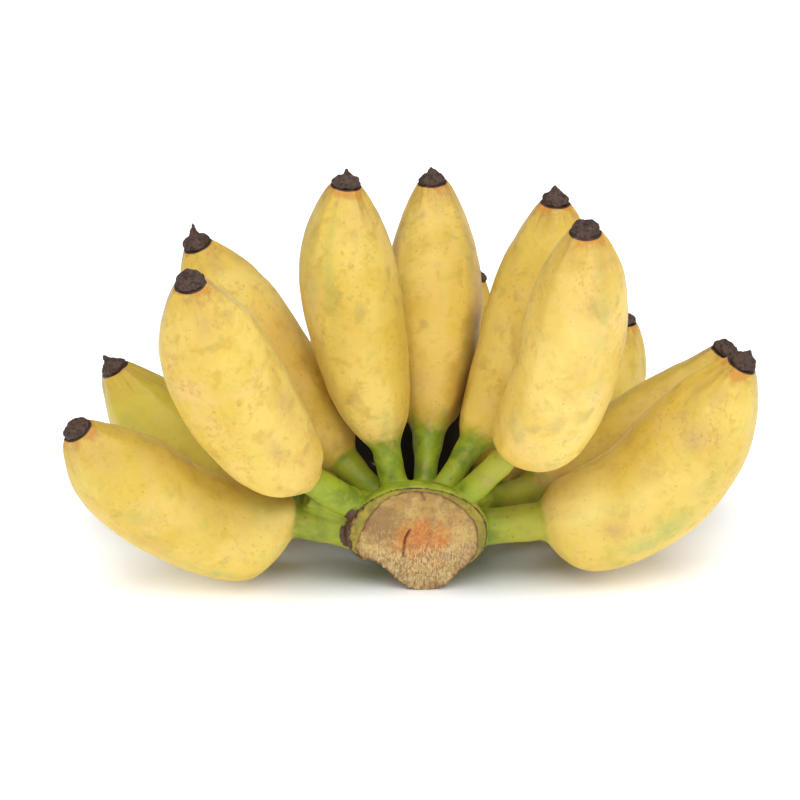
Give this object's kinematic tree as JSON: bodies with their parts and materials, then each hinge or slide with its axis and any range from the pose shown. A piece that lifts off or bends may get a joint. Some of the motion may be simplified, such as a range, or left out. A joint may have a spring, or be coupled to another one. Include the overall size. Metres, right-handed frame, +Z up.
{
  "type": "hand of small bananas",
  "caption": "Whole hand of small plump bananas on green stalks round a cut crown, with dried flower ends, lying on its crown foot and lowest fruits.",
  "frame": {"origin": "middle of the hand's bounding box, on the surface it lies on", "axes": "+X along the hand's width, from its left fruit to its right one as seen from the cut face; +Y from the cut face to the back row; +Z up"},
  "size_m": [0.2856, 0.183, 0.176],
  "materials": {
    "banana_skin": "satin",
    "stalk_green": "satin",
    "cut_flesh": "matte",
    "dried_flower": "matte"
  },
  "bodies": {
    "root": {"crown": "stalk_green", "cut_face": "cut_flesh", "fruit_01": "banana_skin", "fruit_02": "banana_skin", "fruit_03": "banana_skin", "fruit_04": "banana_skin", "fruit_05": "banana_skin", "fruit_06": "banana_skin", "fruit_07": "banana_skin", "fruit_08": "banana_skin", "fruit_09": "banana_skin", "fruit_10": "banana_skin", "fruit_11": "banana_skin", "fruit_12": "banana_skin", "fruit_13": "banana_skin", "flower_end_01": "dried_flower", "flower_end_02": "dried_flower", "flower_end_03": "dried_flower", "flower_end_04": "dried_flower", "flower_end_05": "dried_flower", "flower_end_06": "dried_flower", "flower_end_07": "dried_flower", "flower_end_08": "dried_flower", "flower_end_09": "dried_flower", "flower_end_10": "dried_flower", "flower_end_11": "dried_flower", "flower_end_12": "dried_flower", "flower_end_13": "dried_flower"}
  },
  "joints": []
}
